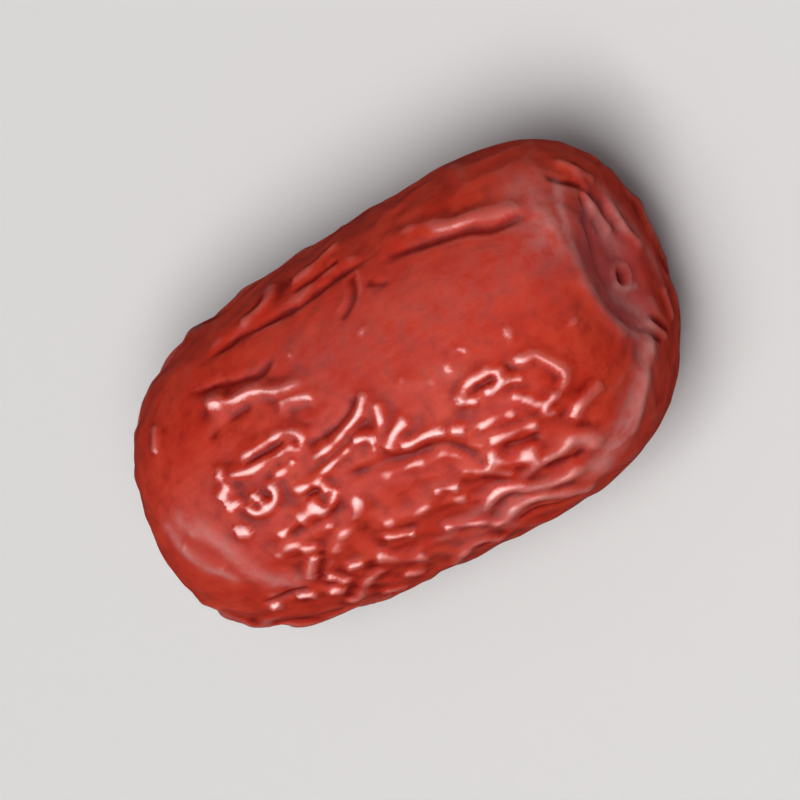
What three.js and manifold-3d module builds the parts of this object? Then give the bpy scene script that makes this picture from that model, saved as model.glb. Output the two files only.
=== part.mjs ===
// A dried jujube: one whole fruit with a wrinkled skin, lying on its side.
// Millimetres, +Z up. The fruit's long axis runs along X, with the stem end at +X.
// The origin is at the middle of the fruit's bounding box, on the surface that it lies on.

import * as THREE from 'three';
import { mergeVertices } from 'three/addons/utils/BufferGeometryUtils.js';
import Module from 'manifold-3d';

const wasm = await Module();
wasm.setup();

// The plump body under the wrinkles.
const LENGTH = 41.8;
const WIDTH = 25.3;
const HEIGHT = 24.8;
const FULLNESS = 3.6; // 2 is an ellipsoid, and more has blunter ends
const TAPER = 0.1; // the stem half is fatter by this share
const SLANT = 0.19; // the ends are cut askew: how far X leads for each millimetre of Y
const DRIFT = -0.05; // how far the middle line goes in Y for each millimetre of X
// Swellings round the girth: how many, how deep, where the first is, and how they turn along the fruit.
const LOBES = [
  { count: 2, depth: 0.016, phase: 0.5, twist: 0.9 },
  { count: 3, depth: 0.014, phase: 2.1, twist: -1.3 },
  { count: 5, depth: 0.009, phase: 4.0, twist: 1.7 },
];

// How the fruit is seen: the eye leans from straight above towards the stem end by this angle, is this
// far off, and looks at a spot this far [along, across] from the fruit's middle.
const EYE_LEAN = THREE.MathUtils.degToRad(25);
const EYE_DISTANCE = 600;
const SEEN_MIDDLE = [1.15, -0.03];
const SIGHT_STEP = 0.05; // how finely a line is followed to the body
const EYE = new THREE.Vector3(Math.sin(EYE_LEAN), 0, Math.cos(EYE_LEAN));

// The hollow round the stem scar: the Y and Z of its middle, its reach across, up and down, its depth,
// its flat floor's share of that reach, and the pleats round its wall.
const BASIN = { spot: [-0.2, 2], radii: [6.4, 5.6, 4.4], depth: 1.25, floor: 0.3, pleats: 8 };

// The ring and pit that the stalk left in the basin: the Y and Z of their middle, and their sizes.
const SCAR_SPOT = [-0.9, 0.4];
const SCAR_RING_RADIUS = 0.9;
const SCAR_RING_THICKNESS = 0.34;
const PIT_RADIUS = 0.55;
const PIT_DEPTH = 0.3;

// The dimple at the other end, where the blossom was.
const DIMPLE = { spot: [0.8, 0], radii: [3.6, 3.4, 3.4], depth: 1, floor: 0, pleats: 7 };

const END_FROM = 0.5; // an end is where a direction's X is past this

// The pleats in both: how high and how narrow they are, how much of one is above the wall, how unevenly
// they are spread, and the shares of the reach between which they rise and between which they fade.
const PLEAT_HEIGHT = 0.22;
const PLEAT_NARROWNESS = 1.6;
const PLEAT_MIDDLE = 0.4;
const PLEAT_SPREAD = 0.6;
const PLEATS_RISE = [0.2, 0.7];
const PLEATS_FADE = [0.9, 1.6];

// The net of wrinkles: soft ridges along the borders of cells grown from scattered seeds.
const NET_SEEDS = 230;
const NET_SEED_NUMBER = 41;
const NET_STRETCH = 2.1; // cells are this much longer than wide
const NET_SOFTNESS = 0.42; // how gradually a ridge falls away
const NET_SCATTER = [0.35, 1.5]; // how far a seed is moved along and round the fruit, of their spacing
const NET_HEIGHTS = [0.12, 0.84]; // of the lowest and the highest ridges
const NET_MIDDLE = 0.28; // how much of a ridge is above the plump body
const NET_WAVER = 0.75; // how far the ridges wander

// Where some of the net is lost: towards the two ends, underneath, and on the seen side, which has folds
// of its own. The loss grows as the direction's share towards that side goes from the first to the second.
const NET_LOSSES = [
  { towards: new THREE.Vector3(1, 0, 0), from: 0.86, to: 0.97, loss: 0.75 },
  { towards: new THREE.Vector3(-1, 0, 0), from: 0.8, to: 1, loss: 0.5 },
  { towards: new THREE.Vector3(0, 0, -1), from: 0.88, to: 0.98, loss: 0.9 },
  { towards: EYE, from: -0.3, to: 0.15, loss: 0.75 },
];

// Calm stretches of skin, each round a spot seen from above, where the net fades out between these shares
// of its reach.
const CALM_EDGE = [0.6, 1.25];
const CALM_PATCHES = [
  { spot: [4, 4.2], reach: [12.5, 5.8], calm: 0.95 },
  { spot: [-18, 1.5], reach: [5, 7.5], calm: 0.85 },
  { spot: [12, -3.5], reach: [3.5, 3.5], calm: 0.8 },
  { spot: [-10, 8.2], reach: [6, 1.6], calm: 0.7 },
];

// Folds on the upper side, as runs of [along, across] seen from above.
// A positive height is a ridge and a negative one a crease.
const FOLDS = [
  // the long crease under the far flank, and the ridges above it
  { run: [[-12, 9.4], [-8, 9.7], [-4, 9.7], [-0.5, 10.2], [2.5, 10.1]], height: -0.45, width: 0.85 },
  { run: [[-9, 10.9], [-5.5, 11.1], [-2.8, 11], [0.8, 11.5]], height: 0.41, width: 0.7 },
  { run: [[-0.3, 10], [-0.4, 8.9], [-1.2, 7.9], [-2.3, 6.9]], height: -0.3, width: 0.6 },
  { run: [[0.4, 9.2], [1, 8.3], [2, 7.6]], height: -0.21, width: 0.55 },
  { run: [[3.2, 9.1], [6, 8.5], [9, 7.5], [11, 6.9], [13.3, 6.7]], height: -0.42, width: 0.8 },
  { run: [[3.5, 10.3], [6.5, 9.7], [9.5, 8.8], [13, 7.9]], height: 0.31, width: 0.8 },
  // the blossom half's upper ridges
  { run: [[-17, 8.2], [-14, 7.6], [-11, 6.7], [-8.3, 6.3]], height: -0.33, width: 0.75 },
  { run: [[-14.2, 6.3], [-12, 5.9], [-9.8, 5.5], [-8.3, 4.7], [-6.6, 4.4]], height: 0.48, width: 0.65 },
  { run: [[-9.2, 3.9], [-7.8, 3.5], [-6.4, 2.9]], height: 0.24, width: 0.5 },
  // the hairpin ridge, and the tongue inside it
  { run: [[-13.8, 2], [-11.5, 2], [-9.4, 2], [-8.8, 1], [-9.6, 0], [-12, -0.4]], height: 0.34, width: 0.5 },
  { run: [[-16, 1.6], [-14.4, 1], [-12, 0.7], [-9.9, 0.9]], height: 0.27, width: 0.45 },
  { run: [[-16.8, 0.2], [-15.2, -0.7], [-14.5, -1.8], [-13.2, -2], [-13, -1]], height: 0.34, width: 0.55 },
  // the branching ridge in the middle
  { run: [[-12, -0.9], [-8.5, -0.4], [-5.8, 0.1], [-4.3, 0.7], [-3.4, 1.7]], height: 0.37, width: 0.55 },
  { run: [[-11.8, -2.4], [-9, -1.9], [-7, -1.3], [-5, -0.9]], height: 0.34, width: 0.55 },
  { run: [[-9.5, -0.8], [-6.5, -0.5], [-4.4, 0]], height: -0.3, width: 0.5 },
  { run: [[-3.4, 1.6], [-3.2, 0.3], [-3.9, -1.2], [-5.2, -2.8]], height: 0.34, width: 0.5 },
  { run: [[-6, -1.3], [-4.4, -1.9], [-2.9, -2.2], [-1.4, -1.8]], height: 0.31, width: 0.55 },
  { run: [[-14.4, -4.4], [-12.4, -3.9], [-10.8, -3.4], [-9.4, -2.7]], height: 0.34, width: 0.6 },
  { run: [[-11.6, -4.9], [-9.8, -4.4], [-8.4, -3.3]], height: 0.27, width: 0.5 },
  // the crease between the middle and the near flank
  { run: [[-8.5, -3.9], [-5, -4.4], [-1, -4.7], [0.8, -5.4], [1.2, -6.4]], height: -0.39, width: 0.8 },
  { run: [[-3.4, -3.5], [-1, -3.8], [1.2, -4.4]], height: 0.31, width: 0.6 },
  // the ridges on the stem half
  { run: [[1.6, -3], [3, -2.1], [4.6, -1.9], [6.2, -2.2], [8.6, -2.5]], height: 0.34, width: 0.55 },
  { run: [[3.1, -3], [4.8, -3.3], [7, -3.7]], height: 0.27, width: 0.5 },
  { run: [[8.4, -2.3], [9.2, -3.2], [10, -4.7], [9, -5.6], [7.2, -6.3]], height: 0.34, width: 0.55 },
  { run: [[2.6, -5.9], [4.8, -6.1], [6.4, -6.9], [8, -7]], height: 0.31, width: 0.55 },
  { run: [[1.6, -7.2], [3, -8.3], [5.6, -9.2]], height: 0.37, width: 0.7 },
  { run: [[8.4, -8.6], [9.8, -7.4], [11.8, -6.9]], height: 0.27, width: 0.6 },
  // the long folds of the near flank
  { run: [[-11.4, -7.6], [-9.4, -6.6], [-7.6, -5.4]], height: 0.31, width: 0.6 },
  { run: [[-7.4, -7.8], [-4, -8.1], [-1, -8.4], [0.4, -8.2]], height: 0.34, width: 0.6 },
  { run: [[-14.5, -8], [-12.5, -8.9], [-10.4, -8.9], [-8, -9.4], [-5.6, -9.4]], height: 0.37, width: 0.7 },
  { run: [[-3.6, -10.4], [-0.8, -10.4], [1.6, -9.9], [4.8, -10.2], [8.6, -11.4]], height: 0.41, width: 0.75 },
  { run: [[-8.4, -10.4], [-6.4, -11.4], [-4, -11.9]], height: 0.37, width: 0.7 },
  { run: [[-0.8, -12.2], [1.4, -11.7], [4, -11.9], [6.8, -12.7]], height: 0.41, width: 0.7 },
  { run: [[5.6, -9.6], [8, -9.2], [10.2, -9.9]], height: 0.31, width: 0.7 },
];

const FOLD_END = 0.25; // the share of a fold's height at its ends
const FOLD_RISE = 0.15; // the share of its length in which it rises to the whole of it
const MOAT_SHARE = 0.12; // how deep the skin beside a fold is, against the fold
const MOAT_WIDTH = 2.2; // and how wide
const FOLD_REACH = 6; // how many widths away a fold is felt

// The face of the fruit that it lies on.
const FLAT_DEPTH = 0.22;
const LEAN = THREE.MathUtils.degToRad(3.5); // the stem end is up by this

// The mesh: squares along the fruit and round each quarter of it.
const STEPS_ALONG = 36;
const STEPS_ROUND = 28;
const NARROWEST_FOLD = 0.9; // a little over the size of the squares
const RING_SIDES = 20;
const SMALL_TURN = 1e-3; // how far the slope of the body is felt
const SAME_PLACE = 1e-4; // points nearer than this are one

const SKIN = new THREE.MeshStandardMaterial({ color: 0x9c2418, roughness: 0.3, metalness: 0 });

const smooth = (low, high, x) => THREE.MathUtils.smoothstep(x, low, high);
const bump = (x) => Math.exp(-x * x);

// A seeded row of random numbers from 0 to 1.
function randomRow(seed) {
  let state = seed;
  return () => {
    state = (state * 16807) % 2147483647;
    return state / 2147483647;
  };
}

// How far the plump body reaches in a direction, as a share of its ellipsoid.
function reach(along, round) {
  return (Math.abs(along) ** FULLNESS + round ** FULLNESS) ** (-1 / FULLNESS);
}

function lobes(along, angle) {
  let share = 1;
  for (const { count, depth, phase, twist } of LOBES) {
    share += depth * Math.cos(count * angle + phase + twist * along);
  }
  return share;
}

// The point of the plump body in a direction from its middle.
function bodyPoint(direction) {
  const { x, y, z } = direction;
  const round = Math.hypot(y, z);
  const scale = reach(x, round);
  const girth = scale * (1 + TAPER * x * scale) * lobes(x, Math.atan2(z, y));
  const across = (WIDTH / 2) * y * girth;
  const along = (LENGTH / 2) * x * scale + SLANT * across;
  return new THREE.Vector3(along, across + DRIFT * along, (HEIGHT / 2) * z * girth);
}

// Whether a point is inside the plump body, the lobes apart.
function isInside(point) {
  const across = point.y - DRIFT * point.x;
  const x = (point.x - SLANT * across) / (LENGTH / 2);
  const round = Math.hypot(across / (WIDTH / 2), point.z / (HEIGHT / 2)) / (1 + TAPER * x);
  return Math.abs(x) ** FULLNESS + round ** FULLNESS < 1;
}

// The first point of the body along a line.
function firstInside(start, line) {
  const point = start.clone();
  for (let travelled = 0; travelled < LENGTH && !isInside(point); travelled += SIGHT_STEP) {
    point.addScaledVector(line, SIGHT_STEP);
  }
  return point;
}

// The point of the body that is seen at [along, across].
function seenPoint([along, across]) {
  const x = along + SEEN_MIDDLE[0];
  const place = new THREE.Vector3(x * EYE.z, across + SEEN_MIDDLE[1], -x * EYE.x);
  const sight = EYE.clone().multiplyScalar(EYE_DISTANCE).sub(place).normalize();
  return firstInside(place.addScaledVector(sight, WIDTH), sight.negate());
}

// A run of points with its corners rounded off.
function roundedRun(run) {
  let points = run;
  for (let pass = 0; pass < 2; pass++) {
    const next = [points[0]];
    for (let i = 0; i + 1 < points.length; i++) {
      const [a, b] = [points[i], points[i + 1]];
      next.push([0.75 * a[0] + 0.25 * b[0], 0.75 * a[1] + 0.25 * b[1]]);
      next.push([0.25 * a[0] + 0.75 * b[0], 0.25 * a[1] + 0.75 * b[1]]);
    }
    next.push(points[points.length - 1]);
    points = next;
  }
  return points;
}

const foldPaths = FOLDS.map(({ run, height, width }) => {
  const path = roundedRun(run).map(seenPoint);
  const { center, radius } = new THREE.Box3().setFromPoints(path).getBoundingSphere(new THREE.Sphere());
  return { path, center, radius, height, width: Math.max(width, NARROWEST_FOLD) };
});

// One fold's height at a point: full along its middle, and fading at its ends.
function foldHeight(point, { path, center, radius, height, width }) {
  if (point.distanceTo(center) > radius + FOLD_REACH * width) return 0;
  let nearest = Infinity;
  let place = 0;
  const closest = new THREE.Vector3();
  for (let i = 0; i + 1 < path.length; i++) {
    const line = new THREE.Line3(path[i], path[i + 1]);
    const share = line.closestPointToPointParameter(point, true);
    const distance = line.at(share, closest).distanceTo(point);
    if (distance < nearest) {
      nearest = distance;
      place = (i + share) / (path.length - 1);
    }
  }
  const whole = THREE.MathUtils.clamp(Math.min(place, 1 - place) / FOLD_RISE, 0, 1);
  const fade = THREE.MathUtils.lerp(FOLD_END, 1, whole);
  return height * fade * (bump(nearest / width) - MOAT_SHARE * bump(nearest / (MOAT_WIDTH * width)));
}

// The net's seeds: a spiral of evenly spread directions, each moved a little at random.
const random = randomRow(NET_SEED_NUMBER);
const GOLDEN_ANGLE = Math.PI * (3 - Math.sqrt(5));
const scattered = (most) => (most * (random() - 0.5)) / Math.sqrt(NET_SEEDS);
const netSeeds = Array.from({ length: NET_SEEDS }, (_, i) => {
  const along = 1 - (2 * (i + 0.5)) / NET_SEEDS + scattered(NET_SCATTER[0]);
  const angle = i * GOLDEN_ANGLE + scattered(NET_SCATTER[1]);
  const round = Math.sqrt(Math.max(0, 1 - along * along));
  const direction = new THREE.Vector3(along, round * Math.cos(angle), round * Math.sin(angle));
  return { spot: bodyPoint(direction), lift: random() };
});

// The net's height at a point, from the softened shares that its seeds have in it.
function netHeight(point) {
  const x = point.x + NET_WAVER * Math.sin(0.9 * point.y + 0.5 * point.z);
  const y = point.y + NET_WAVER * Math.sin(0.7 * point.x + 0.8 * point.z + 1);
  const z = point.z + NET_WAVER * Math.sin(0.8 * point.x - 0.9 * point.y + 2);
  let sum = 0;
  let sumOfSquares = 0;
  let lift = 0;
  for (const seed of netSeeds) {
    const distance = Math.hypot((x - seed.spot.x) / NET_STRETCH, y - seed.spot.y, z - seed.spot.z);
    const share = Math.exp(-distance / NET_SOFTNESS);
    sum += share;
    sumOfSquares += share * share;
    lift += share * seed.lift;
  }
  const onBorder = 1 - sumOfSquares / (sum * sum);
  return THREE.MathUtils.lerp(...NET_HEIGHTS, lift / sum) * (onBorder - NET_MIDDLE);
}

const calmPatches = CALM_PATCHES.map((patch) => ({ ...patch, spot: seenPoint(patch.spot) }));

// How strongly the net shows at a point.
function netStrength(point, direction) {
  let strength = 1;
  for (const { towards, from, to, loss } of NET_LOSSES) {
    strength *= 1 - loss * smooth(from, to, direction.dot(towards));
  }
  for (const { spot, reach: [halfLength, halfWidth], calm } of calmPatches) {
    const along = (point.x - spot.x) / halfLength;
    const across = Math.hypot(point.y - spot.y, point.z - spot.z) / halfWidth;
    strength *= 1 - calm * (1 - smooth(...CALM_EDGE, Math.hypot(along, across)));
  }
  return strength;
}

// How deep a hollow end is at a point, less its pleats.
function hollowDepth(point, { spot, radii, depth, floor, pleats }) {
  const y = (point.y - spot[0]) / radii[0];
  const z = (point.z - spot[1]) / radii[point.z > spot[1] ? 1 : 2];
  const share = Math.hypot(y, z);
  const angle = Math.atan2(z, y);
  const turned = (pleats * angle) / 2 + PLEAT_SPREAD * Math.sin(angle + 1);
  const pleat = bump(PLEAT_NARROWNESS * Math.sin(turned)) - PLEAT_MIDDLE;
  const onWall = smooth(...PLEATS_RISE, share) * (1 - smooth(...PLEATS_FADE, share));
  return depth * (1 - smooth(floor, 1, share)) - PLEAT_HEIGHT * pleat * onWall;
}

// How far the skin is drawn in along X at the two ends.
function endHollow(point, direction) {
  if (direction.x > END_FROM) return -hollowDepth(point, BASIN);
  if (direction.x < -END_FROM) return hollowDepth(point, DIMPLE);
  return 0;
}

// The direction of a point of a cube's skin, with even angles between the cube's lines.
function directionOf(x, y, z) {
  const spread = (value) => Math.tan((value * Math.PI) / 4);
  return new THREE.Vector3(spread(x), spread(y), spread(z)).normalize();
}

// The plump body's outward direction.
function outwardAt(direction) {
  const side = new THREE.Vector3(0, 0, 1).cross(direction);
  if (side.length() < SMALL_TURN) side.set(0, 1, 0);
  side.normalize();
  const up = new THREE.Vector3().crossVectors(direction, side);
  const here = bodyPoint(direction);
  const a = bodyPoint(direction.clone().addScaledVector(side, SMALL_TURN).normalize()).sub(here);
  const b = bodyPoint(direction.clone().addScaledVector(up, SMALL_TURN).normalize()).sub(here);
  return a.cross(b).normalize();
}

// The skin: the plump body with its wrinkles, its folds and its two hollow ends.
function skinPoint(direction) {
  const point = bodyPoint(direction);
  const rise = foldPaths.reduce((sum, fold) => sum + foldHeight(point, fold), 0);
  const net = netHeight(point) * netStrength(point, direction);
  const skin = point.clone().addScaledVector(outwardAt(direction), rise + net);
  skin.x += endHollow(point, direction);
  return skin;
}

function skinGeometry() {
  const cube = new THREE.BoxGeometry(2, 2, 2, STEPS_ALONG, STEPS_ROUND, STEPS_ROUND);
  cube.deleteAttribute('normal');
  cube.deleteAttribute('uv');
  const geometry = mergeVertices(cube);
  const place = geometry.attributes.position;
  for (let i = 0; i < place.count; i++) {
    const point = skinPoint(directionOf(place.getX(i), place.getY(i), place.getZ(i)));
    place.setXYZ(i, point.x, point.y, point.z);
  }
  return geometry;
}

function solidOf(geometry) {
  const bare = geometry.clone();
  bare.deleteAttribute('normal');
  bare.deleteAttribute('uv');
  const merged = mergeVertices(bare, SAME_PLACE);
  return new wasm.Manifold(
    new wasm.Mesh({
      numProp: 3,
      vertProperties: merged.attributes.position.array,
      triVerts: new Uint32Array(merged.index.array),
    }),
  );
}

function geometryOf(solid) {
  const { vertProperties, triVerts } = solid.getMesh();
  const geometry = new THREE.BufferGeometry();
  geometry.setAttribute('position', new THREE.BufferAttribute(new Float32Array(vertProperties), 3));
  geometry.setIndex(new THREE.BufferAttribute(new Uint32Array(triVerts), 1));
  return geometry;
}

// A turned shape on the basin's floor, with its axis along X.
function turnedInBasin(outline) {
  const points = outline.map(([radius, height]) => new THREE.Vector2(radius, height));
  const shape = new THREE.LatheGeometry(points, RING_SIDES);
  shape.rotateZ(-Math.PI / 2);
  const spot = firstInside(new THREE.Vector3(LENGTH, ...SCAR_SPOT), new THREE.Vector3(-1, 0, 0));
  return shape.translate(spot.x - hollowDepth(spot, BASIN), spot.y, spot.z);
}

// The corky ring that the stalk left, and the pit inside it.
function scarRing() {
  const ring = new THREE.Path().absarc(SCAR_RING_RADIUS, 0, SCAR_RING_THICKNESS, -Math.PI, Math.PI, false);
  return turnedInBasin(ring.getPoints(RING_SIDES / 5).map(({ x, y }) => [x, y]));
}

function scarPit() {
  return turnedInBasin([[0, -PIT_DEPTH], [PIT_RADIUS * 0.6, -PIT_DEPTH * 0.8], [PIT_RADIUS, 1], [0, 1]]);
}

// Lays the fruit down: it leans a little, and what would sink is flat.
function layDown(geometry) {
  geometry.rotateY(-LEAN);
  geometry.computeBoundingBox();
  const floor = geometry.boundingBox.min.z + FLAT_DEPTH;
  const place = geometry.attributes.position;
  for (let i = 0; i < place.count; i++) place.setZ(i, Math.max(place.getZ(i), floor));
  geometry.computeBoundingBox();
  const middle = geometry.boundingBox.getCenter(new THREE.Vector3());
  return geometry.translate(-middle.x, -middle.y, -floor);
}

const fruit = solidOf(skinGeometry()).add(solidOf(scarRing())).subtract(solidOf(scarPit()));

const jujube = new THREE.Mesh(layDown(geometryOf(fruit)), SKIN);
jujube.name = 'jujube_fruit';

const part = new THREE.Group();
part.add(jujube);

export default part;
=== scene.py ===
"""Dresses a dried jujube: its glossy wrinkled skin, and the stage that it lies on.

The fruit's long axis runs along X, with its stem end at +X, and it lies on the floor at Z = 0.
The skin is made in millimetres, in the fruit's own frame, and is then laid down in the frame's metres.
"""

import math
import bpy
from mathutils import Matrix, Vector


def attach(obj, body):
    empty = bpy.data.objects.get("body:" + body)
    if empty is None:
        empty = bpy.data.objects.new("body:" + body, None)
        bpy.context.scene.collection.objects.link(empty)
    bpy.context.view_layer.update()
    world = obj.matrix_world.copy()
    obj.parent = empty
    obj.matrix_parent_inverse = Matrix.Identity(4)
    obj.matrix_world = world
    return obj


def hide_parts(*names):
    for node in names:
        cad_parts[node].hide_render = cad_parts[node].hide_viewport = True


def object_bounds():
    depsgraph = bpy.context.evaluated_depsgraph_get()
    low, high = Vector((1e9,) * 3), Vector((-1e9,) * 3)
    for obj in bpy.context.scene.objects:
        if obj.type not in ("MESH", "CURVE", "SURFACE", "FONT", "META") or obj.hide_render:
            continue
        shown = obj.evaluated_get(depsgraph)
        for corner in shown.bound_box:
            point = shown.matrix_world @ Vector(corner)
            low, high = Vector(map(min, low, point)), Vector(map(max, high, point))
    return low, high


bl_info = {
    "name": "Dried jujube",
    "version": (1, 0, 0),
    "blender": (4, 5, 0),
    "location": "3D View > Sidebar > Jujube",
    "description": "Makes one dried jujube with a glossy, wrinkled skin, and the stage that it lies on",
    "category": "Object",
}

import bmesh
import bpy
import numpy as np
from bpy.props import FloatProperty, FloatVectorProperty, PointerProperty
from mathutils import Matrix, Vector, noise

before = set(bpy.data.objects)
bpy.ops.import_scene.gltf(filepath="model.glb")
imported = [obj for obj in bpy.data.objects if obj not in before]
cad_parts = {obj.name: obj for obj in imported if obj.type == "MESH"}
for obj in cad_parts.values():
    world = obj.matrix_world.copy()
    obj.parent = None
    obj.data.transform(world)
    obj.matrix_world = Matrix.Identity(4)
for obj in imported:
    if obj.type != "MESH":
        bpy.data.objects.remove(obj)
FRAME_LOW, FRAME_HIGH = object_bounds()

FRUIT_NODE = "jujube_fruit"
MM = 0.001

# The multiplier and modulus of the seeded row of random numbers.
RANDOM_STEP = 16807
RANDOM_RANGE = 2147483647

# How finely a line of sight is followed down to the body, and where the middle of the seen outline is
# (along, across) from the body's own middle, in millimetres.
EYE_STEP = 0.05
SEEN_MIDDLE = (1.15, -0.03)

# The fineness of the sphere that the skin grows from, and how far its points are drawn to the top, where
# the mesh is to be finer.
SPHERE_STEPS = 4
SPHERE_CUTS = 4
DRAW_UP = 0.3

# The drying: its frames, the one by which the flesh has shrunk, and the weight of the skin's pins to the
# flesh. The wrinkles start from a seeded scatter, whose size is in centimetres. A move under NO_MOVE
# millimetres counts as none.
DRYING_FRAMES = 30
SHRINKING_FRAMES = 10
FLESH_WEIGHT = 0.5
DRYING_SEED = 3
DRYING_SCATTER = 0.003
CM_PER_MM = 0.1
NO_MOVE = 1e-9

# How the drying skin behaves as a cloth, beside what the panel sets.
CLOTH = {
    "quality": 6,
    "mass": 0.3,
    "tension_stiffness": 40,
    "compression_stiffness": 40,
    "shear_stiffness": 20,
    "bending_damping": 0.5,
}

# The stem end is past this X, in millimetres, and the blossom end is past its negative. END_DIRECTION is the
# same for directions, which are points of the unit sphere.
END_FROM = 12
END_DIRECTION = 0.5

# Lobes round the body, each with its count, depth, phase and twist along the fruit.
LOBES = [
    (2, 0.016, 0.5, 0.9),
    (3, 0.014, 2.1, -1.3),
    (5, 0.009, 4.0, 1.7),
]

# The hollow ends: the Y and Z of the middle, the reach across, up and down, the depth, the flat
# floor's share of that reach, and the number of the pleats round the wall.
BASIN = dict(spot=(-0.2, 2.0), reach=(6.4, 5.6, 4.4), depth=1.25, floor=0.3, pleats=8)
DIMPLE = dict(spot=(0.8, 0), reach=(3.6, 3.4, 3.4), depth=1, floor=0, pleats=7)

# The pleats in both: how high and how narrow they are, which share of the height is level with the wall, how
# unevenly they are spread, and the shares of the reach between which they rise and between which they fade.
PLEAT_HEIGHT = 0.22
PLEAT_NARROWNESS = 1.6
PLEAT_MIDDLE = 0.4
PLEAT_SPREAD = 0.6
PLEATS_RISE = (0.2, 0.7)
PLEATS_FADE = (0.9, 1.6)

# The ring and pit that the stalk left in the basin: the Y and Z of their middle, and their sizes. The pit's
# wall is between these shares of its radius.
SCAR_SPOT = (-0.9, 0.4)
SCAR_RING_RADIUS = 0.9
SCAR_RING_THICKNESS = 0.34
PIT_RADIUS = 0.55
PIT_DEPTH = 0.3
PIT_WALL = (0.2, 1.3)

# The pale grey-mauve painted into the hollow ends, a painted reflection: how much each has, the shares of the
# reach between which it fades, and how much of it is missing at the scar.
BASIN_SHEEN = 1
DIMPLE_SHEEN = 0.4
END_SHEEN_FADE = (0.55, 1.15)
SCAR_SHEEN_GAP = 0.8

# The net of wrinkles: soft ridges along the borders of cells grown from scattered seeds. The seeds scatter
# along and round the fruit by these shares, and the cells are stretched along it. A cell's height is between
# the two heights. The skin is raised where it is more than NET_MIDDLE on a border, and lowered elsewhere.
NET_SEEDS = 230
NET_SEED_NUMBER = 41
NET_SCATTER = (0.35, 1.5)
NET_STRETCH = 2.1
NET_SOFTNESS = 0.42
NET_HEIGHTS = (0.12, 0.84)
NET_MIDDLE = 0.28
NET_WAVER = 0.75

# Where some of the random wrinkles are lost: towards the two ends, on the seen side, which has folds of its
# own, and underneath. Each has the shares of the way there, from -1 to 1, between which the loss grows, and
# then the whole loss.
STEM_LOSS = (0.86, 0.97, 0.75)
BLOSSOM_LOSS = (0.8, 1, 0.5)
SEEN_LOSS = (-0.3, 0.15, 0.75)
UNDER_LOSS = (0.88, 0.98, 0.95)

# The fine crinkles all over the skin: their number in each mm along and across, their height, and their
# fractal's smoothness, the step from one octave to the next, and the number of octaves.
CRINKLES = (0.5, 1.1, 1.1)
CRINKLE_HEIGHT = 0.012
CRINKLE_FRACTAL = (0.8, 2, 3)

# How far the folds wander from their runs, and how quickly. FOLD_END is the share of its height that a fold
# has at its ends, and FOLD_GROWTH how fast it grows from there. The skin beside a fold is lower by a share of
# it, over a wider band, and no fold is felt more than FOLD_REACH widths outside the ball round its path.
FOLD_WAVER = 0.05
FOLD_WAVES = 2
FOLD_END = 0.25
FOLD_GROWTH = 5
MOAT_SHARE = 0.12
MOAT_WIDTH = 2.2
FOLD_REACH = 6

# How many rings of neighbours the skin's bend is taken over, how often it is softened, and the bends in
# millimetres at which a crest and a hollow start and are full.
BEND_REACH = 6
BEND_SOFTENING = 2
CREST_BENDS = (0.013, 0.048)
HOLLOW_BENDS = (0, 0.06)

# The patterns in the skin's colour: how many of each there are in a metre, the streaks' stretch, and the
# noise values between which a pattern goes from none to full.
PATCHES = 260
MOTTLES = 900
STREAKS = 1500
PORES = 2600
STREAK_STRETCH = (0.35, 1, 1)
PATTERN_STEP = (0.35, 0.7)
DARK_STEP = (0.45, 0.75)
PAINTED_SHEEN_STEP = (0.3, 0.65)

# The weight of the glossy coat on flat skin, and what a crest adds to it.
FLAT_COAT = 0.015
CREST_COAT = 0.87

# The camera's distance, the width of its view, and half the floor's width, in metres.
VIEW_DISTANCE = 0.6
VIEW_WIDTH = 0.058
FLOOR_REACH = 1.5

# Each light's name and the property that holds its power. Then its direction, to the picture's right, to its
# top and towards the eye, its distance and size in metres, and the switch that hides it from some rays.
LIGHTS = [
    ("Key light", "key_light", (-0.2, -0.27, 0.93), 0.5, 0.3, "visible_glossy"),
    ("Front softbox", "front_light", (-0.11, -0.81, 0.57), 0.35, 0.32, "visible_diffuse"),
    ("Side softbox", "side_light", (-0.66, -0.6, 0.45), 0.35, 0.4, "visible_diffuse"),
]

# Calm stretches of skin, each a spot seen from above, its reach along and across, and its calm, which fades
# between these shares of the reach.
CALM_FADE = (0.6, 1.25)
CALM_PATCHES = [
    ((4, 4.2), (12.5, 5.8), 0.95),
    ((-18, 1.5), (5, 7.5), 0.85),
    ((12, -3.5), (3.5, 3.5), 0.8),
    ((-10, 8.2), (6, 1.6), 0.7),
]

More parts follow.
